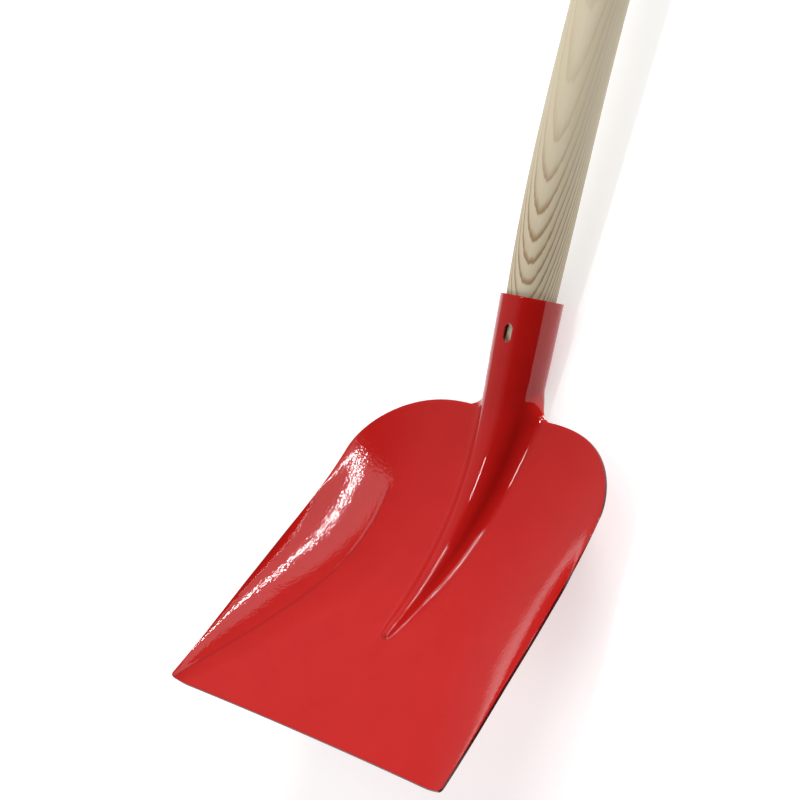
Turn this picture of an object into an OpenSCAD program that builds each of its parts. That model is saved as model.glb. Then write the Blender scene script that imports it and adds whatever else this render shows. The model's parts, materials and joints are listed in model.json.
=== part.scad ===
// Square mouth shovel: a pressed steel head with a rolled socket,
// a bent ash handle, and the nail that holds them together from behind.
//
// The head is worked out as it stands with its front flat on the ground:
// X across the blade, Y from the front edge back to the shoulders, Z up on
// the side that carries the load. laid_down() then tips the whole shovel
// back until its heel and the butt of the handle lie on the floor.

/* [Blade] */
// Width across the front corners
blade_w = 245.5; // [225:0.5:270]
// Width where the rounded shoulders begin
rear_w = 226.5; // [205:0.5:245]
// Length from the front edge to the shoulders, along the ground
blade_l = 256; // [235:1:275]
// Distance from the front edge to the start of the rounded shoulders
side_l = 200.5; // [190:0.5:215]
// Roundness of the shoulders across the blade, 2 is an ellipse
shoulder_power = 2.5; // [1.9:0.1:2.8]
// Roundness of the shoulders along the blade, 2 is an ellipse
shoulder_power_along = 2.1; // [1.8:0.1:2.4]
// Radius of the front corners
corner_r = 2.5; // [1:0.5:6]
// How far the front corners stand ahead of the middle of the front edge
front_hollow = 1.4; // [0:0.1:3]
// Thickness of the sheet
sheet_t = 1.6; // [1.4:0.1:2]
// Rise of the floor from the front to the shoulders
dish = 57.5; // [50:0.5:65]
// How the floor's rise grows, 2 is a parabola
dish_power = 2.4; // [2:0.1:2.8]
// Length of the flat part of the floor behind the front edge
flat_l = 86.5; // [65:0.5:95]

/* [Turned-up sides] */
// Rise of the side at the front corner
rise_front = 3.5; // [1:0.5:8]
// Rise of the side at the shoulder
rise_rear = 20; // [8:0.5:22]
// How far the side stands above the straight line between those two
rise_swell = 9.5; // [4:0.1:14]
// Place along the side where it does, as a share of its length
rise_swell_at = 0.62; // [0.5:0.01:0.7]
// Steepness of the turned-up side in front, 1 is a straight slope
rise_power = 1.6; // [1.3:0.1:2.2]
// Steepness of the turned-up side at the shoulder
rise_power_rear = 2.4; // [1.6:0.1:2.6]
// Distance from the middle line to the fold at the shoulder
fold_rear = 34; // [30:1:45]
// Width of the turned-up side at the front corner
fold_front = 12; // [8:1:20]

/* [Rib] */
// Distance from the front edge to the tip of the rib
rib_tip = 86; // [75:1:110]
// Radius of the rib's crest at its tip
rib_tip_r = 5.5; // [4:0.5:8]
// Half width of the rib towards the shoulders
rib_w = 24.5; // [23:0.5:28]
// How the rib's width grows, 1 is a straight line
rib_w_power = 0.45; // [0.4:0.05:1]
// How the rib's height grows, 1 is a straight line
rib_power = 0.85; // [0.8:0.05:1.3]
// How the radius of the rib's crest grows, 1 is a straight line
rib_r_power = 1.5; // [1:0.1:2.5]

/* [Socket] */
// Angle between the socket and the ground when the front lies flat
lift = 46.7; // [42:0.1:50]
// Length of the socket above the shoulders
socket_l = 79.5; // [70:0.5:90]
// Outer diameter at the mouth
mouth_d = 44; // [42:0.5:46]
// Outer diameter at the shoulders
root_d = 41; // [40.5:0.5:42]
// Wall at the mouth
mouth_wall = 2; // [1.5:0.1:2.4]
// Height of the socket's middle line above the floor at the shoulders
axis_rise = -0.6; // [-1:0.1:2]
// Length over which the edges are rolled together behind
wrap_l = 32; // [26:1:38]
// Half width of the neck, where the rounded corners meet the shoulders
neck_w = 34; // [30:0.5:36]
// Length of the rounded corner between shoulder and socket
flare_l = 23; // [10:0.5:26]
// Width of the open seam behind
seam_w = 2.5; // [1.5:0.1:3]
// Width of the nail slot in front
slot_w = 6.5; // [5:0.1:8]
// Length of the nail slot
slot_l = 12.5; // [10:0.5:16]
// Distance from the mouth to the middle of the slot
slot_down = 26; // [20:1:30]
// Angle of the slot to the right of the middle line
slot_turn = 4.5; // [0:0.5:8]

/* [Handle] */
// Diameter of the handle
handle_d = 39; // [37:0.5:41]
// Length of the handle along its middle line
handle_l = 1300; // [1000:10:1500]
// Diameter of the turned end in the socket
tenon_d = 34.6; // [34:0.1:36]
// Gap between the turned end and the front wall, where the socket is narrowest
seat_clear = 0.3; // [0.2:0.05:0.5]
// How far the turned end runs past the shoulders
tenon_past = 3; // [2:0.5:6]
// Chamfer on the turned end
tenon_chamfer = 3; // [1:0.5:5]
// Length above the mouth over which the handle swells to its full diameter
swell_l = 130; // [90:5:180]
// Length of the bent part above the mouth
bend_l = 400; // [300:10:500]
// Angle of the bend, towards the back
bend = 11; // [6:0.5:12]
// Radius round the butt end
butt_round = 8; // [4:0.5:12]

/* [Nail] */
// Shank diameter
nail_d = 3.8; // [3:0.1:4.5]
// Length below the head
nail_l = 28; // [20:1:32]
// Length of the point
nail_point = 5; // [3:0.5:7]
// Head diameter
nail_head_d = 9; // [8:0.1:11]
// Head thickness
nail_head_t = 1.6; // [1:0.1:2.5]
// Radial clearance of the hole in the socket
nail_clear = 0.3; // [0.2:0.05:0.6]

/* [Hidden] */
$fn = 96;

// Faces along and across the sheet, and round the bent part of the handle
lines_flat = 8;
lines_dished = 22;
lines_flare = 5;
lines_wrap = 6;
lines_crest = 8;
lines_hollow = 5;
lines_wing = 12;
lines_rib = lines_crest + lines_hollow;
lines_half = lines_rib + lines_wing;
lines_round = 48;
lines_bent = 20;

// The sheet ends inside the socket's wall, this far from either face of it
bury = 0.15;
// Length over which the sheet and the socket share one wall
lap = 6;
// Clearance of the nail in the wood and under its head
wood_clear = 0.1;
// The bent part of the handle enters the round parts by this length, and is
// this much slimmer there
joint_lap = 2;
joint_step = 0.1;

root_r = root_d / 2;
mouth_r = mouth_d / 2;
handle_r = handle_d / 2;
tenon_r = tenon_d / 2;

function mix(a, b, t) = a + (b - a) * t;
function clamp01(t) = min(1, max(0, t));
function smooth(t) = let(c = clamp01(t)) c * c * (3 - 2 * c);

// ---- Floor: flat behind the front edge, then rising ever more steeply ----
dished_l = blade_l - flat_l;
function dished(y) = max(0, y - flat_l) / dished_l;
function floor_z(y) = dish * pow(dished(y), dish_power);
function floor_slope(y) = atan(dish_power * dish / dished_l * pow(dished(y), dish_power - 1));
// Over the last stretch the rib's sections turn square to the socket
turn_l = 70;
function rib_slope(y) =
    floor_slope(y) + (lift - floor_slope(blade_l)) * smooth((y - blade_l) / turn_l + 1);

// ---- Rib: a round crest that runs out to the floor in a hollow on each side ----
rib_end_r = root_r - bury;
rib_end_h = axis_rise + rib_end_r;
function rib_t(y) = max(0, (y - rib_tip) / (blade_l - rib_tip));
function rib_h(y) = max(0.001, rib_end_h * pow(rib_t(y), rib_power));
// Half width of the whole rib, which widens at the neck
function rib_foot(y) = mix(rib_w * pow(rib_t(y), rib_w_power), neck_w, pow(rib_t(y), 5));
// Crest and hollow meet with one slope, so their radii add up to this
function rib_arcs(y) = (pow(rib_foot(y), 2) + pow(rib_h(y), 2)) / (2 * rib_h(y));
function rib_r(y) = min(0.9 * rib_arcs(y), mix(rib_tip_r, rib_end_r, pow(rib_t(y), rib_r_power)));
function hollow_r(y) = rib_arcs(y) - rib_r(y);
// Half width of the round crest alone
function crest_w(y) = rib_foot(y) * rib_r(y) / rib_arcs(y);
function rib_n(x, y) =
    x >= rib_foot(y) ? 0
    : x > crest_w(y) ? hollow_r(y) - sqrt(max(0, pow(hollow_r(y), 2) - pow(rib_foot(y) - x, 2)))
    : rib_h(y) - rib_r(y) + sqrt(max(0, pow(rib_r(y), 2) - x * x));
// Angle of the rib's surface away from the floor
function rib_tilt(x, y) =
    x >= rib_foot(y) ? 0
    : x > crest_w(y) ? asin(clamp01((rib_foot(y) - x) / hollow_r(y)))
    : asin(clamp01(x / rib_r(y)));
// Columns are spaced round the arcs, and keep some width where the rib ends
rib_min_w = 6;
function rib_x(i, y) =
    let(side = asin(clamp01(crest_w(y) / rib_r(y))),
        x = i <= lines_crest
            ? rib_r(y) * sin(side * i / lines_crest)
            : rib_foot(y) - hollow_r(y) * sin(side * (lines_rib - i) / lines_hollow))
    max(x, rib_min_w * i / lines_rib);

// ---- Sides: v runs from 0 at the front edge to 1 at the shoulders ----
function half_w(v) = mix(blade_w, rear_w, v) / 2;
function fold_x(v) = mix(blade_w / 2 - fold_front, fold_rear, sin(90 * min(1, v / 0.75)));
function edge_rise(v) =
    mix(rise_front, rise_rear, v)
    + rise_swell * sin(180 * pow(v, ln(0.5) / ln(rise_swell_at)));
function side_n(x, v) =
    edge_rise(v) * pow(
        max(0, x - fold_x(v)) / (half_w(v) - fold_x(v)),
        mix(rise_power, rise_power_rear, pow(v, 4)));

// ---- The pressed sheet, one half: depth is 0 on its face, sheet_t behind ----
// A point stands n above the floor at station y, and its surface leans by
// tilt to the side; slope is how steeply its section climbs from the ground.
function sheet_point(x, y, n, tilt, slope, depth) = [
    x + depth * sin(tilt),
    y - (n - depth * cos(tilt)) * sin(slope),
    floor_z(y) + (n - depth * cos(tilt)) * cos(slope)];

function rib_point(i, v, depth) =
    let(y = v * blade_l, x = rib_x(i, y))
    sheet_point(x, y, rib_n(x, y), -rib_tilt(x, y), rib_slope(y), depth);

// The wing's rows are straight in front and turn into the rounded shoulder at
// the rear. Each point's w is its distance from the front edge as a share of
// the whole way to the outline, so w is 1 all along the shoulder.
function wing_point(k, v, depth) =
    let(a = 90 * k / lines_wing,
        across = pow(sin(a), 2 / shoulder_power),
        reach = mix(side_l, blade_l, pow(cos(a), 2 / shoulder_power_along)),
        row_y = v * blade_l - pow(v, 3) * (blade_l - reach),
        w = row_y / reach,
        x = mix(max(rib_min_w, rib_foot(v * blade_l)), half_w(w), across),
        y = row_y + front_line(x) * (1 - v),
        tilt = atan(side_n(x + 0.5, w) - side_n(x - 0.5, w)))
    sheet_point(x, y, side_n(x, w), tilt, floor_slope(y), depth);
// The front edge: ahead of its middle towards the corners, which are rounded
function front_line(x) =
    let(in = clamp01((x - blade_w / 2 + corner_r) / corner_r))
    corner_r * (1 - sqrt(1 - in * in)) - front_hollow * pow(2 * x / blade_w, 2);

function blade_row(v, depth) = [
    for (i = [0:lines_rib - 1]) rib_point(i, v, depth),
    for (k = [0:lines_wing]) wing_point(k, v, depth)];

// Above the shoulders the rib's edges leave the floor and roll round behind
function socket_r(s) = mix(root_r, mouth_r, s / socket_l);
function wrap_point(i, s, depth) =
    let(r = socket_r(s) - bury - depth,
        corner = pow(1 - pow(1 - clamp01(s / flare_l), 1.5), 1 / 1.5),
        rolled = mix(smooth(s / flare_l), corner, pow(i / lines_rib, 4)),
        a = mix(100, 174, smooth(s / wrap_l)) * i / lines_rib,
        x = rib_x(i, blade_l),
        tilt = rib_tilt(x, blade_l))
    on_socket(s,
        mix(x - depth * sin(tilt), r * sin(a), rolled),
        mix(rib_n(x, blade_l) - depth * cos(tilt), axis_rise + r * cos(a), rolled));
function on_socket(s, x, n) = [
    x,
    blade_l + s * cos(lift) - n * sin(lift),
    dish + s * sin(lift) + n * cos(lift)];
function wrap_row(s, depth) = [for (i = [0:lines_rib]) wrap_point(i, s, depth)];

// ---- Rows of the whole sheet, mirrored about the middle line ----
tip_v = rib_tip / blade_l;
blade_v = [
    for (i = [0:lines_flat - 1]) tip_v * i / lines_flat,
    for (i = [0:lines_dished]) mix(tip_v, 1, pow(i / lines_dished, 1.15))];
// No row lies in the plane where the socket's round wall starts
wrap_s = [
    for (i = [1:lines_flare]) flare_l * (1 - cos(90 * i / lines_flare)),
    for (i = [1:lines_wrap]) mix(flare_l, wrap_l - 1, i / lines_wrap),
    wrap_l + lap];
function mirrored(half) = concat(
    [for (i = [len(half) - 1:-1:1]) [-half[i].x, half[i].y, half[i].z]],
    half);
function sheet_rows(depth) = concat(
    [for (v = blade_v) mirrored(blade_row(v, depth))],
    [for (s = wrap_s) mirrored(wrap_row(s, depth))]);

module pressed_sheet() {
    face = sheet_rows(0);
    back = sheet_rows(sheet_t);
    last = len(face) - 1;
    shoulder = len(blade_v) - 1;
    wide = 2 * lines_half + 1;
    narrow = 2 * lines_rib + 1;
    left = lines_half - lines_rib;
    right = lines_half + lines_rib;
    count = wide * len(blade_v) + narrow * len(wrap_s);
    // Columns keep their numbers above the shoulders, where rows are shorter
    function id(p) = p[0] <= shoulder
        ? p[0] * wide + p[1]
        : (shoulder + 1) * wide + (p[0] - shoulder - 1) * narrow + p[1] - left;
    function quad(a, b, c, d) = [[a, b, c], [a, c, d]];
    // Each half is split along the diagonals that lie closest to its surface
    function patch(r0, r1, c0, c1) = [
        for (r = [r0:r1 - 1], c = [c0:c1 - 1])
            let(a = id([r, c]), b = id([r + 1, c]), d = id([r, c + 1]), e = id([r + 1, c + 1]))
                each (c < lines_half) != (r < shoulder) ? quad(a, b, e, d) : quad(b, e, d, a)];
    face_side = concat(patch(0, shoulder, 0, wide - 1), patch(shoulder, last, left, right));
    back_side = [for (f = face_side) [count + f[0], count + f[2], count + f[1]]];
    // Once round the rim, against the clock as seen on the face
    rim = concat(
        [for (c = [0:wide - 1]) [0, c]],
        [for (r = [1:shoulder]) [r, wide - 1]],
        [for (c = [wide - 2:-1:right]) [shoulder, c]],
        [for (r = [shoulder + 1:last]) [r, right]],
        [for (c = [right - 1:-1:left]) [last, c]],
        [for (r = [last - 1:-1:shoulder]) [r, left]],
        [for (c = [left - 1:-1:0]) [shoulder, c]],
        [for (r = [shoulder - 1:-1:1]) [r, 0]]);
    rim_side = [
        for (i = [0:len(rim) - 1])
            let(a = id(rim[i]), b = id(rim[(i + 1) % len(rim)]))
                each quad(a, b, b + count, a + count)];
    polyhedron(
        points = concat([for (row = face) each row], [for (row = back) each row]),
        faces = concat(face_side, back_side, rim_side));
}

// ---- Places on the socket and the handle ----
// Sets children on the socket's middle line, s above the shoulders, with Z
// along the socket and Y to its front
module at_socket(s, n = 0) {
    translate([0, blade_l, dish])
        rotate([lift - 90, 0, 0])
            mirror([0, 1, 0])
                translate([0, axis_rise + n, s])
                    children();
}

bore_narrow_r = socket_r(wrap_l) - mouth_wall;
bore_mouth_r = mouth_r - mouth_wall;
// The handle bears on the front wall, where the nail drives it
tenon_shift = rib_end_r - sheet_t - tenon_r - seat_clear;
tenon_l = socket_l + tenon_past;
slot_s = socket_l - slot_down;

module socket_tube() {
    tube_l = socket_l - wrap_l;
    difference() {
        at_socket(wrap_l) cylinder(r1 = socket_r(wrap_l), r2 = mouth_r, h = tube_l);
        at_socket(wrap_l - 1)
            cylinder(
                r1 = bore_narrow_r - (bore_mouth_r - bore_narrow_r) / tube_l,
                r2 = bore_mouth_r + (bore_mouth_r - bore_narrow_r) / tube_l,
                h = tube_l + 2);
        // Open seam behind
        at_socket(wrap_l - 1)
            translate([-seam_w / 2, -2 * mouth_r, 0])
                cube([seam_w, 2 * mouth_r, tube_l + 2]);
    }
}

module nail_slot() {
    end = (slot_l - slot_w) / 2;
    at_socket(slot_s) rotate([-90, 0, -slot_turn]) {
        for (side = [-1, 1]) translate([0, side * end, 0]) cylinder(d = slot_w, h = 2 * mouth_r);
        translate([-slot_w / 2, -end, 0]) cube([slot_w, 2 * end, 2 * mouth_r]);
    }
}

module head() {
    color("#c8222a")
        difference() {
            union() {
                pressed_sheet();
                socket_tube();
            }
            nail_slot();
            // Round hole behind, half in each edge of the seam
            at_socket(slot_s) rotate([90, 0, 0]) cylinder(r = nail_d / 2 + nail_clear, h = 2 * mouth_r);
        }
}

// ---- Handle ----
// Angle to the ground, and place of the middle line, a length s above the mouth
bend_r = bend_l / (bend * PI / 180);
function handle_angle(s) = lift - bend * min(s, bend_l) / bend_l;
mouth_at = on_socket(socket_l, 0, axis_rise + tenon_shift);
function handle_at(s) =
    mouth_at
    + bend_r * [0, sin(lift) - sin(handle_angle(s)), cos(handle_angle(s)) - cos(lift)]
    + max(0, s - bend_l) * [0, cos(handle_angle(s)), sin(handle_angle(s))];
function swell_r(s) = mix(handle_r, tenon_r, pow(1 - clamp01(s / swell_l), 2.5));
// The bent part runs on a little inside the round ends that it joins, with
// no ring in the planes where they start
ring_s = [
    -joint_lap,
    for (i = [1:lines_bent]) (bend_l - 1) * pow(i / lines_bent, 1.5),
    bend_l + joint_lap];

module bent_part() {
    rings = [
        for (s = ring_s)
            let(a = handle_angle(s), r = swell_r(s) - joint_step)
                [for (k = [0:lines_round - 1])
                    let(t = 360 * k / lines_round)
                        handle_at(s) + r * [sin(t), -cos(t) * sin(a), cos(t) * cos(a)]]];
    walls = [
        for (i = [0:len(rings) - 2], k = [0:lines_round - 1])
            let(a = i * lines_round + k,
                b = i * lines_round + (k + 1) % lines_round)
                each [[a, b + lines_round, b], [a, a + lines_round, b + lines_round]]];
    low_end = [for (k = [0:lines_round - 1]) k];
    high_end = [for (k = [lines_round - 1:-1:0]) (len(rings) - 1) * lines_round + k];
    polyhedron(points = [for (ring = rings) each ring], faces = concat([low_end], walls, [high_end]));
}

straight_l = handle_l - tenon_l - bend_l;

module handle() {
    color("#dcc7a0")
        difference() {
            union() {
                at_socket(-tenon_past, tenon_shift) {
                    cylinder(r1 = tenon_r - tenon_chamfer, r2 = tenon_r, h = tenon_chamfer);
                    translate([0, 0, tenon_chamfer]) cylinder(r = tenon_r, h = tenon_l - tenon_chamfer);
                }
                bent_part();
                translate(handle_at(bend_l))
                    rotate([handle_angle(bend_l) - 90, 0, 0])
                        rotate_extrude() {
                            square([handle_r, straight_l - butt_round]);
                            square([handle_r - butt_round, straight_l]);
                            translate([handle_r - butt_round, straight_l - butt_round])
                                intersection() {
                                    circle(butt_round);
                                    square(butt_round);
                                }
                        }
            }
            nail(wood_clear);
        }
}

// ---- Nail, driven in from behind opposite the slot ----
module nail(grow = 0) {
    at_socket(slot_s) rotate([90, 0, 0]) translate([0, 0, socket_r(slot_s) + wood_clear]) {
        translate([0, 0, -nail_l + nail_point - grow])
            cylinder(d = nail_d + 2 * grow, h = nail_l - nail_point + grow);
        translate([0, 0, -nail_l - grow])
            cylinder(d1 = 0.6 + 2 * grow, d2 = nail_d + 2 * grow, h = nail_point);
    }
}

module fixing_nail() {
    color("#9a9ea3") {
        nail();
        at_socket(slot_s) rotate([90, 0, 0]) translate([0, 0, socket_r(slot_s) + wood_clear])
            cylinder(d = nail_head_d, h = nail_head_t);
    }
}

// ---- Pose on the floor ----
// The shovel rests on the butt and on the heel, where the edges of the sheet
// are rolled together. The heel's lowest point makes the steepest line to the butt.
heel = concat(
    [for (s = wrap_s) wrap_point(lines_rib, s, 0)],
    [on_socket(wrap_l, 0, axis_rise - socket_r(wrap_l))]);
butt_angle = handle_angle(bend_l);
butt = handle_at(bend_l) + (straight_l - butt_round) * [0, cos(butt_angle), sin(butt_angle)];
butt_low = butt - handle_r * [0, -sin(butt_angle), cos(butt_angle)];
tip_back = max([for (p = heel) atan2(butt_low.z - p.z, butt_low.y - p.y)]);
function along_floor(p) = p.y * cos(tip_back) + p.z * sin(tip_back);
floor_level = min([for (p = heel) p.z * cos(tip_back) - p.y * sin(tip_back)]);
front_end = along_floor([0, -front_hollow, -sheet_t]);
back_end = along_floor(butt) + butt_round
    + (handle_r - butt_round) * abs(sin(butt_angle - tip_back));

module laid_down() {
    translate([0, -(front_end + back_end) / 2, -floor_level])
        rotate([-tip_back, 0, 0])
            children();
}

laid_down() head();
laid_down() handle();
laid_down() fixing_nail();
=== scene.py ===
# Square mouth shovel, lying face up on the floor on its heel and the butt of
# its handle: a pressed and enamelled steel head, a bent ash handle in the
# head's rolled socket, and the nail that holds them together from behind.
import json
import math

import bpy
from mathutils import Matrix, Vector


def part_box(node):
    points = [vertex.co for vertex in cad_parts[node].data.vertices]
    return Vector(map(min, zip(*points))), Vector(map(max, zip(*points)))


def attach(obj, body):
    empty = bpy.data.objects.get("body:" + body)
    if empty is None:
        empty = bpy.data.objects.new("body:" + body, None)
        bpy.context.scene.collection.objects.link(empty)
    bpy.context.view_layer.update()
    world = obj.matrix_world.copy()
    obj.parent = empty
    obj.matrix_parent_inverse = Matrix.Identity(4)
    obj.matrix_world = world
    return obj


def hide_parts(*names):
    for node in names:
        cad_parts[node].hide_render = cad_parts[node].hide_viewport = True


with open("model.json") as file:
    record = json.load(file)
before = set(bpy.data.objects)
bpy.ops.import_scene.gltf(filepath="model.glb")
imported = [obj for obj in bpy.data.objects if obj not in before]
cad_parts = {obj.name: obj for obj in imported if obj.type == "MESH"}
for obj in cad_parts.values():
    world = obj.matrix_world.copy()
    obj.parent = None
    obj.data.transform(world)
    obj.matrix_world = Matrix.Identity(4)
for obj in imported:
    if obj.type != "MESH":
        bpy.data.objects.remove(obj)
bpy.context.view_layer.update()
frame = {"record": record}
bpy.ops.object.select_all(action="DESELECT")


# ---- Head ----------------------------------------------------------------
# One piece of steel sheet. The blank is cut out flat, pressed into blade,
# rib and shoulders, and its neck is rolled round into the socket, whose
# edges stay open behind. The whole head is dipped in red enamel.

# Outline of the blade, and the thickness of the sheet
blade_w = 0.2455
rear_w = 0.2265
blade_l = 0.256
side_l = 0.2005
shoulder_power = 2.5
shoulder_power_along = 2.1
corner_r = 0.0025
front_hollow = 0.0014
sheet_t = 0.0016

# Its floor is flat in front and dishes up behind
dish = 0.0575
dish_power = 2.4
flat_l = 0.0865
dished_l = blade_l - flat_l

# The sides turn up outside a fold, which runs inwards to the rear
rise_front = 0.0035
rise_rear = 0.020
rise_swell = 0.0095
rise_swell_at = 0.62
rise_power = 1.6
rise_power_rear = 2.4
fold_front = 0.012
fold_rear = 0.034
fold_settled = 0.75
rise_late = 4

# The rib grows from its tip to the neck. Just behind the tip it swells.
rib_tip = 0.086
rib_tip_r = 0.0055
rib_w = 0.0245
rib_w_power = 0.35
rib_power = 0.85
rib_r_power = 1.5
rib_flare_power = 5
rib_least_w = 0.006
rib_least_h = 1e-6
crest_share = 0.9
tip_swell = 0.0014
tip_swell_full = 0.02
tip_swell_fade = 0.2

# The neck leans up from the shoulders and is rolled into the socket, whose
# sheet lies slightly inside the socket's size until its edges have met
lift = math.radians(46.7)
socket_l = 0.0795
mouth_r = 0.022
root_r = 0.0205
inside = 0.00015
axis_rise = -0.0006
wrap_l = 0.032
wrap_half = math.radians(100)
wrap_full = math.radians(174)
neck_w = 0.034
flare_l = 0.023
flare_power = 1.5
flare_late = 4
seam_w = 0.0025
seam_run = 0.008
step_run = 0.006
turn_l = 0.070
rib_end_r = root_r - inside

# The slot in front and the nail's hole behind
slot_w = 0.0065
slot_l = 0.0125
slot_down = 0.026
slot_turn = math.radians(4.5)
nail_hole_r = 0.0022
edge_r = 0.0003

# Rows along the blade and the neck, and columns across each half
front_rows = 48
blade_rows = 148
neck_rows = 48
row_spread = 1.3
row_late = 3
crest_cols = 18
hollow_cols = 12
wing_cols = 38
rim_col = 0.006
rib_cols = crest_cols + hollow_cols
half_cols = rib_cols + wing_cols


def mix(a, b, t):
    return a + (b - a) * t


def ease(t):
    t = min(1, max(0, t))
    return t * t * (3 - 2 * t)


def floor_rise(y):
    return dish * (max(0, y - flat_l) / dished_l) ** dish_power


def floor_slope(y):
    t = max(0, y - flat_l) / dished_l
    return math.atan(dish_power * dish / dished_l * t ** (dish_power - 1))


def rib_slope(y):
    """The rib's sections turn from the floor's slope to the neck's over turn_l."""
    turned = ease((y - blade_l) / turn_l + 1)
    return floor_slope(y) + (lift - floor_slope(blade_l)) * turned


class RibSection:
    """The rib at one station: a round crest that runs out in a hollow on each side."""

    def __init__(self, y):
        t = max(0, (y - rib_tip) / (blade_l - rib_tip))
        self.height = max(rib_least_h, (axis_rise + rib_end_r) * t ** rib_power)
        fading = ease((t - tip_swell_full) / tip_swell_fade)
        self.height += tip_swell * ease(t / tip_swell_full) * (1 - fading)
        self.foot = mix(rib_w * t ** rib_w_power, neck_w, t ** rib_flare_power)
        arcs = (self.foot ** 2 + self.height ** 2) / (2 * self.height)
        self.crest_r = min(crest_share * arcs, mix(rib_tip_r, rib_end_r, t ** rib_r_power))
        self.hollow_r = arcs - self.crest_r
        self.crest_w = self.foot * self.crest_r / arcs
        self.side = math.asin(min(1, self.crest_w / self.crest_r)) if self.foot else 0

    def across(self, col):
        """Distance from the middle line of a column, spaced round the arcs."""
        if col <= crest_cols:
            x = self.crest_r * math.sin(self.side * col / crest_cols)
        else:
            x = self.foot - self.hollow_r * math.sin(self.side * (rib_cols - col) / hollow_cols)
        return max(x, rib_least_w * col / rib_cols)

    def rise(self, x):
        """How far the rib stands above the floor, x from the middle line."""
        if x >= self.foot:
            return 0
        if x > self.crest_w:
            return self.hollow_r - math.sqrt(max(0, self.hollow_r ** 2 - (self.foot - x) ** 2))
        return self.height - self.crest_r + math.sqrt(max(0, self.crest_r ** 2 - x * x))


def fold_place(v):
    """Where the blade starts to turn up at its side, v of the way back."""
    way = min(1, v / fold_settled)
    return mix(blade_w / 2 - fold_front, fold_rear, math.sin(math.pi / 2 * way))


def side_rise(x, v):
    """How far the turned-up side stands above the blade's floor, v of the way back."""
    half_w = mix(blade_w, rear_w, v) / 2
    fold = fold_place(v)
    height = mix(rise_front, rise_rear, v)
    height += rise_swell * math.sin(math.pi * v ** (math.log(0.5) / math.log(rise_swell_at)))
    power = mix(rise_power, rise_power_rear, v ** rise_late)
    return height * (max(0, x - fold) / (half_w - fold)) ** power


def front_line(x):
    """The front edge: ahead of its middle towards the corners, which are rounded."""
    t = min(1, max(0, (x - blade_w / 2 + corner_r) / corner_r))
    return corner_r * (1 - math.sqrt(1 - t * t)) - front_hollow * (2 * x / blade_w) ** 2


def on_floor(x, y, n, slope):
    """A point n above the blade's floor, on a section that leans back by slope."""
    return Vector((x, y - n * math.sin(slope), floor_rise(y) + n * math.cos(slope)))


def blade_point(row, col):
    """Where a row and a column of one half of the blade come to lie."""
    # One row lies on the rib's tip, and behind it they start close together
    if row <= front_rows:
        y = rib_tip * row / front_rows
    else:
        share = (row - front_rows) / (blade_rows - front_rows)
        y = mix(rib_tip, blade_l, share ** row_spread)
    v = y / blade_l
    rib = RibSection(y)
    if col <= rib_cols:
        x = rib.across(col)
        return on_floor(x, y, rib.rise(x), rib_slope(y))
    # Rows of the wing are straight in front and turn into the round shoulder
    a = math.pi / 2 * (col - rib_cols) / wing_cols
    across = min(math.sin(a) ** (2 / shoulder_power), 1 - rim_col * (half_cols - col))
    reach = mix(side_l, blade_l, (1 - across ** shoulder_power) ** (1 / shoulder_power_along))
    y -= v ** row_late * (blade_l - reach)
    way = y / reach
    x = mix(max(rib_least_w, rib.foot), mix(blade_w, rear_w, way) / 2, across)
    y += front_line(x) * (1 - v)
    return on_floor(x, y, side_rise(x, way), floor_slope(y))


def on_socket(s, x, n):
    """A point s above the shoulders, n in front of the plane of the neck."""
    return Vector((
        x,
        blade_l + s * math.cos(lift) - n * math.sin(lift),
        dish + s * math.sin(lift) + n * math.cos(lift)))


def neck_point(row, col):
    """Where a row and a column of one half of the neck come to lie."""
    s = socket_l * row / neck_rows
    r = mix(root_r, mouth_r, s / socket_l) - inside * (1 - ease((s - wrap_l) / step_run))
    seam_edge = math.pi - math.asin(seam_w / 2 / r)
    edge = mix(wrap_full, seam_edge, ease((s - wrap_l) / seam_run))
    corner = (1 - (1 - min(1, s / flare_l)) ** flare_power) ** (1 / flare_power)
    rolled = mix(ease(s / flare_l), corner, (col / rib_cols) ** flare_late)
    a = mix(wrap_half, edge, ease(s / wrap_l)) * col / rib_cols
    rib = RibSection(blade_l)
    x = rib.across(col)
    return on_socket(
        s,
        mix(x, r * math.sin(a), rolled),
        mix(rib.rise(x), axis_rise + r * math.cos(a), rolled))


# The head lies tipped back until the handle's straight part, beyond its bend,
# has the slope that the frame gives it
bend = math.radians(11)
grip = next(mount for mount in frame["record"]["mounts"] if mount["name"] == "handle_end")
handle_slope = math.asin(Vector(grip["axis"]).z)
tipped = Matrix.Rotation(-(lift - bend - handle_slope), 4, "X")

# The flat blank, with its corners cut away beside the neck
rows = blade_rows + neck_rows
cols = 2 * half_cols
bpy.ops.mesh.primitive_grid_add(x_subdivisions=cols, y_subdivisions=rows, size=2)
head = bpy.context.object
head.name = "shovel_head"


def place_on_blank(vertex):
    """Row and column of a point of the blank, with the columns counted from the middle."""
    col = round((vertex.co.x + 1) / 2 * cols) - half_cols
    row = round((vertex.co.y + 1) / 2 * rows)
    return row, col


bpy.ops.object.mode_set(mode="EDIT")
bpy.ops.mesh.select_mode(type="VERT")
bpy.ops.mesh.select_all(action="DESELECT")
bpy.ops.object.mode_set(mode="OBJECT")
for vertex in head.data.vertices:
    row, col = place_on_blank(vertex)
    vertex.select = row > blade_rows and abs(col) > rib_cols
bpy.ops.object.mode_set(mode="EDIT")
bpy.ops.mesh.delete(type="VERT")
bpy.ops.object.mode_set(mode="OBJECT")

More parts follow.
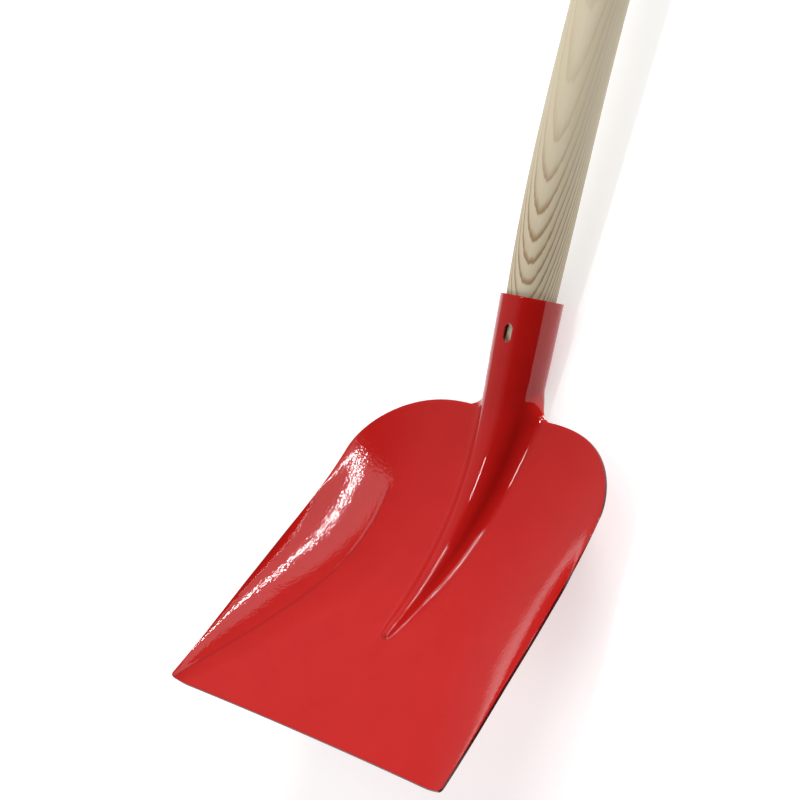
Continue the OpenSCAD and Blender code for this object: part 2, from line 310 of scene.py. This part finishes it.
# Pressed and rolled. Each point keeps how far it lies outside the fold.
past_fold = head.data.attributes.new("past_fold", "FLOAT", "POINT")
for vertex in head.data.vertices:
    row, col = place_on_blank(vertex)
    if row <= blade_rows:
        point = blade_point(row, abs(col))
        past_fold.data[vertex.index].value = point.x - fold_place(min(1, point.y / blade_l))
    else:
        point = neck_point(row - blade_rows, abs(col))
        past_fold.data[vertex.index].value = -fold_rear
    if col < 0:
        point.x = -point.x
    vertex.co = tipped @ point


def finish_with(piece, kind, **settings):
    """Adds a modifier and applies it."""
    bpy.ops.object.select_all(action="DESELECT")
    piece.select_set(True)
    bpy.context.view_layer.objects.active = piece
    modifier = piece.modifiers.new(kind.lower(), kind)
    for name, value in settings.items():
        setattr(modifier, name, value)
    bpy.ops.object.modifier_apply(modifier=modifier.name)


sheet_faces = len(head.data.polygons)
finish_with(head, "SOLIDIFY", thickness=sheet_t, offset=-1)

# The sheared edges of the sheet, which are coloured dark as painted shade
sheared = head.data.attributes.new("sheared", "FLOAT", "FACE")
for face in head.data.polygons:
    sheared.data[face.index].value = face.index >= 2 * sheet_faces

# It lies where the frame puts it, with its heel on the floor
head_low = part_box("head")[0]
lay = Matrix.Translation((
    0,
    head_low.y - min(vertex.co.y for vertex in head.data.vertices),
    head_low.z - min(vertex.co.z for vertex in head.data.vertices)))
head.data.transform(lay)
laid_down = lay @ tipped

# The slot in front for a second fixing, and the hole behind for the nail
slot_s = socket_l - slot_down


def socket_place(s, turn=0):
    """Moves a piece from the origin to the socket, with its Z out of the front at s."""
    middle = on_socket(s, 0, axis_rise)
    out = on_socket(s, math.sin(turn), axis_rise + math.cos(turn)) - middle
    along = on_socket(s + 1, 0, axis_rise) - middle
    across = along.cross(out)
    axes = Matrix((across, along, out)).transposed().to_4x4()
    return laid_down @ Matrix.Translation(middle) @ axes


def punch(radius, at, stretch=0):
    """A round punch on the Z axis, drawn out each way along Y by stretch."""
    bpy.ops.mesh.primitive_cylinder_add(
        vertices=32, radius=radius, depth=mouth_r, location=(0, 0, at))
    cutter = bpy.context.object
    for vertex in cutter.data.vertices:
        vertex.co.y += math.copysign(stretch, vertex.co.y)
    bpy.ops.object.transform_apply(location=True, rotation=True, scale=True)
    return cutter


slot_punch = punch(slot_w / 2, mouth_r, (slot_l - slot_w) / 2)
slot_punch.data.transform(socket_place(slot_s, slot_turn))
hole_punch = punch(nail_hole_r, -mouth_r)
hole_punch.data.transform(socket_place(slot_s))
for cutter in (slot_punch, hole_punch):
    finish_with(head, "BOOLEAN", object=cutter, operation="DIFFERENCE", solver="EXACT")
    bpy.data.objects.remove(cutter)
edge_angle = math.radians(50)
finish_with(head, "BEVEL", width=edge_r, segments=2, limit_method="ANGLE", angle_limit=edge_angle)
bpy.ops.object.shade_smooth_by_angle(angle=edge_angle)


class Field:
    """A shader socket, with arithmetic that adds Math nodes behind it."""

    def __init__(self, finish, socket):
        self.finish = finish
        self.socket = socket

    def math(self, operation, *values):
        sockets = dict(enumerate((self,) + values))
        return self.finish.add("ShaderNodeMath", {"operation": operation}, sockets)

    def __add__(self, other):
        return self.math("ADD", other)

    __radd__ = __add__

    def __sub__(self, other):
        return self.math("SUBTRACT", other)

    def __rsub__(self, other):
        return self.math("MULTIPLY_ADD", -1, other)

    def __mul__(self, other):
        return self.math("MULTIPLY", other)

    __rmul__ = __mul__

    def __truediv__(self, other):
        return self.math("DIVIDE", other)


class Finish:
    """A material whose nodes are added one by one."""

    def __init__(self, name):
        self.material = bpy.data.materials.new(name)
        self.material.use_nodes = True
        self.nodes = self.material.node_tree.nodes
        self.links = self.material.node_tree.links
        self.nodes.clear()

    def add(self, kind, settings, sockets, output=0):
        """Adds a node, with its settings and then the values or links of its sockets."""
        node = self.nodes.new(kind)
        stops = settings.pop("stops", None)
        for name, value in settings.items():
            setattr(node, name, value)
        if stops:
            ramp = node.color_ramp
            while len(ramp.elements) < len(stops):
                ramp.elements.new(1)
            for element, (place, colour) in zip(ramp.elements, stops):
                element.position = place
                element.color = (*colour, 1)
        for name, value in sockets.items():
            self.put(node, name, value)
        outputs = [socket for socket in node.outputs if socket.enabled]
        return Field(self, node.outputs[output] if isinstance(output, str) else outputs[output])

    def put(self, node, name, value):
        """Links or sets a socket, which is given by its name or its number."""
        usable = [socket for socket in node.inputs if socket.enabled]
        socket = usable[name] if isinstance(name, int) else next(s for s in usable if s.name == name)
        if isinstance(value, Field):
            self.links.new(value.socket, socket)
        elif socket.type == "RGBA":
            socket.default_value = (*value, 1)
        else:
            socket.default_value = value

    def mix(self, factor, first, second):
        return self.add(
            "ShaderNodeMix", {"data_type": "RGBA"}, {"Factor": factor, "A": first, "B": second})

    def attribute(self, name, output="Fac"):
        return self.add("ShaderNodeAttribute", {"attribute_name": name}, {}, output)

    def fade(self, value, first, last, low=0, high=1):
        """Passes smoothly from low, where the value is at first, to high at last."""
        return self.add(
            "ShaderNodeMapRange", {"interpolation_type": "SMOOTHSTEP"},
            {"Value": value, "From Min": first, "From Max": last, "To Min": low, "To Max": high})

    def noise(self, place, scale, detail):
        return self.add(
            "ShaderNodeTexNoise", {}, {"Vector": place, "Scale": scale, "Detail": detail})

    def streaks(self, place, scales, detail):
        """Noise with a scale of its own along each axis."""
        drawn_out = self.add("ShaderNodeVectorMath", {"operation": "MULTIPLY"}, {0: place, 1: scales})
        return self.noise(drawn_out, 1, detail)

    def bump(self, height, distance, under=None):
        sockets = {"Height": height, "Distance": distance}
        if under:
            sockets["Normal"] = under
        return self.add("ShaderNodeBump", {}, sockets)

    def surface(self, **sockets):
        """Ends the material in a shader, whose sockets are named with _ for a space."""
        named = {name.replace("_", " "): value for name, value in sockets.items()}
        shader = self.add("ShaderNodeBsdfPrincipled", {}, named)
        output = self.nodes.new("ShaderNodeOutputMaterial")
        self.links.new(shader.socket, output.inputs["Surface"])
        return self.material


# Enamel: an even red coat, with its sheared edges coloured dark as painted shade. It dried with
# small dimples, which are plain on the turned-up sides and faint on the flat.
enamel_red = (0.42, 0.010, 0.008)
enamel_deep = (0.37, 0.007, 0.006)
# painted shade: the dark colour given to the sheared edges stands in for their shade
painted_edge_shade = (0.06, 0.007, 0.007)
dimple_h = 0.00006
flat_dimples = 0.12
dimples_full = 0.03
wave_h = 0.0002
enamel = Finish("red_enamel")
place = enamel.add("ShaderNodeTexCoord", {}, {}, "Object")
across = enamel.add("ShaderNodeSeparateXYZ", {}, {0: place}, "X")
along = enamel.add("ShaderNodeSeparateXYZ", {}, {0: place}, "Y")
past = enamel.attribute("past_fold")
waves = enamel.noise(place, 26, 2)
depth = enamel.noise(place, 40, 3)
dimples = enamel.noise(place, 480, 1) * enamel.fade(past, 0, dimples_full, flat_dimples)

# The press left a shallow crease on the left side, drawn as a bump and coloured a darker red as
# painted shade. It nears the fold towards the front, and runs out behind.
# painted shade: the darker red laid along the crease
crease_shade_red = (0.34, 0.008, 0.007)
crease_w = 0.0025
crease_h = 0.00008
crease_slope = 0.18
crease_out = 0.147
crease_rear = -0.6
crease_left = -0.01
run_out = 0.5
off_crease = (past - crease_slope * along - crease_out).math("ABSOLUTE")
off_crease = off_crease + run_out * (along - crease_rear).math("MAXIMUM", 0)
off_crease = off_crease + run_out * (across - crease_left).math("MAXIMUM", 0)
level = enamel.fade(off_crease, 0, crease_w)

# the red, with the crease's painted shade mixed in
red_with_crease_shade = enamel.mix(level, crease_shade_red, enamel.mix(depth, enamel_deep, enamel_red))
relief = enamel.bump(waves, wave_h)
relief = enamel.bump(level, crease_h, relief)
relief = enamel.bump(dimples, dimple_h, relief)
# Base colour with painted shade: dark on the sheared edges, and a darker red along the crease
head.data.materials.append(enamel.surface(
    Base_Color=enamel.mix(enamel.attribute("sheared"), red_with_crease_shade, painted_edge_shade),
    Roughness=0.03 + 0.04 * waves,
    IOR=1.5,
    Normal=relief))
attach(head, "root")
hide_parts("head")


# ---- Handle --------------------------------------------------------------
# One piece of ash, turned round with a thinner end for the socket, then
# steamed and bent. It is sanded and left bare.
handle_r = 0.0195
handle_l = 1.3
tenon_r = 0.0173
tenon_past = 0.003
tenon_chamfer = 0.003
seat_clear = 0.0003
swell_l = 0.130
swell_power = 2.5
bend_l = 0.400
butt_round = 0.008
tenon_shift = rib_end_r - sheet_t - tenon_r - seat_clear
tenon_l = socket_l + tenon_past
handle_sides = 72
swell_rows = 26
bend_rows = 24
straight_rows = 30
butt_rows = 9


def turned(name, profile, sides):
    """Turns a round piece about Z from (place along it, radius) pairs."""
    bpy.ops.object.select_all(action="DESELECT")
    start, radius = profile[0]
    bpy.ops.mesh.primitive_circle_add(
        vertices=sides, radius=radius, fill_type="NGON", location=(0, 0, start))
    piece = bpy.context.object
    piece.name = name
    bpy.ops.object.transform_apply(location=True, rotation=True, scale=True)
    bpy.ops.object.mode_set(mode="EDIT")
    bpy.ops.mesh.select_all(action="SELECT")
    for here, r in profile[1:]:
        bpy.ops.mesh.extrude_region_move(TRANSFORM_OT_translate={"value": (0, 0, here - start)})
        bpy.ops.transform.resize(value=(r / radius, r / radius, 1), center_override=(0, 0, here))
        start, radius = here, r
    bpy.ops.mesh.select_all(action="SELECT")
    bpy.ops.mesh.normals_make_consistent(inside=False)
    bpy.ops.object.mode_set(mode="OBJECT")
    return piece


def swell_r(s):
    return mix(handle_r, tenon_r, (1 - min(1, s / swell_l)) ** swell_power)


def stations(start, end, count):
    """Evenly spaced places after start, the last of them at end."""
    return [mix(start, end, i / count) for i in range(1, count + 1)]


butt = handle_l - tenon_l
profile = [(-tenon_l, tenon_r - tenon_chamfer), (-tenon_l + tenon_chamfer, tenon_r), (0, tenon_r)]
profile += [(s, swell_r(s)) for s in stations(0, swell_l, swell_rows)]
profile += [(s, handle_r) for s in stations(swell_l, bend_l, bend_rows)]
profile += [(s, handle_r) for s in stations(bend_l, butt - butt_round, straight_rows)]
profile += [
    (butt - butt_round * (1 - math.sin(a)), handle_r - butt_round * (1 - math.cos(a)))
    for a in stations(0, math.pi / 2, butt_rows)]
handle = turned("ash_handle", profile, handle_sides)

# The grain keeps each point's place in the straight stick, then it is bent
grain = handle.data.attributes.new("grain", "FLOAT_VECTOR", "POINT")
for vertex in handle.data.vertices:
    grain.data[vertex.index].vector = vertex.co
mouth_at = on_socket(socket_l, 0, axis_rise + tenon_shift)
bend_r = bend_l / bend
for vertex in handle.data.vertices:
    s = vertex.co.z
    angle = lift - bend * min(max(s, 0), bend_l) / bend_l
    along = Vector((0, math.cos(angle), math.sin(angle)))
    up = Vector((0, -math.sin(angle), math.cos(angle)))
    middle = mouth_at + bend_r * Vector((
        0, math.sin(lift) - math.sin(angle), math.cos(angle) - math.cos(lift)))
    middle += (min(s, 0) + max(0, s - bend_l)) * along
    vertex.co = laid_down @ (middle + vertex.co.x * Vector((1, 0, 0)) + vertex.co.y * up)
bpy.ops.object.shade_smooth_by_angle(angle=math.radians(40))

# Ash: pale wood with a dark line of open pores where each year's ring starts.
# The rings are wide shells round a heart that lies below the handle. They lean
# to its length near the socket, less and less over ring_run, and so they come
# out on top as nested pointed arches.
ash_pale = (0.665, 0.595, 0.445)
ash_tan = (0.56, 0.485, 0.335)
fibre_tan = (0.47, 0.39, 0.265)
fibre_share = 0.4
pore_brown = (0.27, 0.15, 0.06)
pore_depth = 0.5
fibre_h = 0.00012
ring_gap = 0.0021
ring_run = 0.2
ring_lean = math.radians(6.5)
ring_turn = math.radians(20)
heart_below = 0.085
wander_by = 0.0024
ripple_by = 0.0006
ash = Finish("ash")
stick = ash.attribute("grain", "Vector")
length = ash.add("ShaderNodeSeparateXYZ", {}, {0: stick}, "Z")
wander = ash.streaks(stick, (34, 34, 7), 2)
ripple = ash.streaks(stick, (520, 520, 70), 2)
to_heart = Vector((math.sin(ring_turn), math.cos(ring_turn), 0)) * heart_below
from_heart = ash.add(
    "ShaderNodeVectorMath", {"operation": "MULTIPLY_ADD"}, {0: stick, 1: (1, 1, 0), 2: to_heart})
reach = ash.add("ShaderNodeVectorMath", {"operation": "LENGTH"}, {0: from_heart}, "Value")
straight = (length / -ring_run).math("EXPONENT")
cut = (1 - straight) * (ring_run * math.tan(ring_lean))
years = (reach + cut + wander_by * wander + ripple_by * ripple) / ring_gap

# How dark the pores are from one ring's start to the next. They are plain to
# see by the socket, in some patches more than in others, and fade further up.
pore_tones = [(0, 0.15), (0.06, 1), (0.16, 0.75), (0.4, 0.15), (0.9, 0), (1, 0.15)]
pores = ash.add(
    "ShaderNodeValToRGB", {"stops": [(start, (dark, dark, dark)) for start, dark in pore_tones]},
    {"Fac": years.math("FRACT")})
plain = ash.fade(length, 0.02, 0.14, 1.7, 0.3)
patches = ash.streaks(stick, (18, 18, 5), 2)
ring = pores * plain * (0.35 + 0.9 * patches)

fibre = ash.streaks(stick, (1300, 1300, 26), 3)
tone = ash.streaks(stick, (110, 110, 3), 3)
wood = ash.mix(tone, ash_tan, ash_pale)
wood = ash.mix(ring, wood, pore_brown)
wood = ash.mix(fibre_share * fibre, wood, fibre_tan)
handle.data.materials.append(ash.surface(
    Base_Color=wood,
    Roughness=0.5 + 0.1 * fibre,
    Normal=ash.bump(fibre - pore_depth * ring, fibre_h)))
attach(handle, "root")
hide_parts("handle")


# ---- Nail ----------------------------------------------------------------
# A bright steel clout nail, driven into the handle from behind through a
# round hole that the seam of the socket runs through.
nail_r = 0.0019
nail_l = 0.028
nail_point = 0.005
nail_tip_r = 0.0003
nail_head_r = 0.0045
nail_head_t = 0.0016
under_round = 0.0003
wood_clear = 0.0001
nail_sides = 40

# The rim of the nail's head, as height and width: eased below, bevelled above
rim_low = (0.0003, 0.0002)
rim_high = (0.0005, 0.0008)

nail = turned("steel_nail", [
    (-nail_l, nail_tip_r),
    (-nail_l + nail_point, nail_r),
    (-under_round, nail_r),
    (0, nail_r + under_round),
    (0, nail_head_r - rim_low[1]),
    (rim_low[0], nail_head_r),
    (nail_head_t - rim_high[0], nail_head_r),
    (nail_head_t, nail_head_r - rim_high[1])], nail_sides)
head_at = mix(root_r, mouth_r, slot_s / socket_l) + wood_clear
behind = socket_place(slot_s) @ Matrix.Rotation(math.pi, 4, "X")
nail.data.transform(behind @ Matrix.Translation((0, 0, head_at)))
bpy.ops.object.shade_smooth_by_angle(angle=math.radians(35))

# Drawn steel wire, with fine marks from the die
steel_bright = (0.55, 0.55, 0.56)
steel_dull = (0.42, 0.42, 0.43)
mark_h = 0.00003
steel = Finish("nail_steel")
place = steel.add("ShaderNodeTexCoord", {}, {}, "Object")
marks = steel.noise(place, 900, 3)
nail.data.materials.append(steel.surface(
    Base_Color=steel.mix(marks, steel_dull, steel_bright),
    Metallic=1,
    Roughness=0.28 + 0.2 * marks,
    Normal=steel.bump(marks, mark_h)))
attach(nail, "root")
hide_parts("fixing_nail")


# ---- Floor ---------------------------------------------------------------
# A plain pale studio floor, large enough to fill every view. It glows a
# little, so that no hard shadow lies on it.
floor_size = 60
bpy.ops.mesh.primitive_plane_add(size=floor_size, location=(0, 0, 0))
floor = bpy.context.object
floor.name = "floor"
white = Finish("studio_floor")
floor.data.materials.append(white.surface(
    Base_Color=(0.6, 0.6, 0.6),
    Roughness=0.8,
    Emission_Color=(1, 1, 1),
    Emission_Strength=0.55))


# ---- Light and camera ----------------------------------------------------
# Two narrow lamps hang in line over the blade and the handle, with a dim panel
# and a thinner lamp beside the far one. A wide soft one stands beyond the butt
# and another in front of the blade.
def area_lamp(name, power, size, place, look_at):
    """A flat lamp of so many watts and of size metres, which faces a point."""
    data = bpy.data.lights.new(name, "AREA")
    data.energy = power
    data.shape = "RECTANGLE"
    data.size, data.size_y = size
    lamp = bpy.data.objects.new(name, data)
    lamp.location = place
    lamp.rotation_euler = (Vector(look_at) - lamp.location).to_track_quat("-Z", "Y").to_euler()
    bpy.context.scene.collection.objects.link(lamp)


blade_middle = (0, -0.66, 0.06)
area_lamp("strip_far", 12, (0.022, 1.9), (0, 1.29, 1.86), (0, 1.29, 0))
area_lamp("strip_near", 2.4, (0.03, 0.31), (0, -0.305, 1.86), (0, -0.305, 0))
area_lamp("strip_thin", 0.9, (0.015, 1.0), (0.5, 0.84, 1.86), (0.5, 0.84, 0))
area_lamp("panel", 3.6, (0.9, 1.0), (0, 0.84, 1.87), (0, 0.84, 0))
area_lamp("softbox_back", 447, (2.8, 1.4), (0.35, 5.04, 2.23), blade_middle)
area_lamp("softbox_front", 48, (2.4, 1.6), (-0.9, -2.5, 1.9), blade_middle)

# The room: a pale wall on the left, and dark on the right
wall_glow = 0.35
wall_starts = 0.25
wall_full = -0.45
world = bpy.data.worlds.new("room")
world.use_nodes = True
room = world.node_tree.nodes
links = world.node_tree.links
direction = room.new("ShaderNodeTexCoord")
split = room.new("ShaderNodeSeparateXYZ")
wall = room.new("ShaderNodeMapRange")
wall.interpolation_type = "SMOOTHSTEP"
wall.inputs["From Min"].default_value = wall_starts
wall.inputs["From Max"].default_value = wall_full
wall.inputs["To Max"].default_value = wall_glow
room["Background"].inputs["Color"].default_value = (1, 1, 1, 1)
links.new(direction.outputs["Generated"], split.inputs["Vector"])
links.new(split.outputs["X"], wall.inputs["Value"])
links.new(wall.outputs["Result"], room["Background"].inputs["Strength"])
bpy.context.scene.world = world
bpy.context.scene.view_settings.view_transform = "Standard"

camera_data = bpy.data.cameras.new("camera")
camera_data.lens = 84.568
camera_data.sensor_width = 36
camera = bpy.data.objects.new("camera", camera_data)
camera.location = (0.7964, -0.6094, 1.0256)
camera.rotation_euler = [math.radians(a) for a in (17.1327, 38.5924, 21.7071)]
bpy.context.scene.collection.objects.link(camera)
bpy.context.scene.camera = camera

bpy.context.view_layer.update()
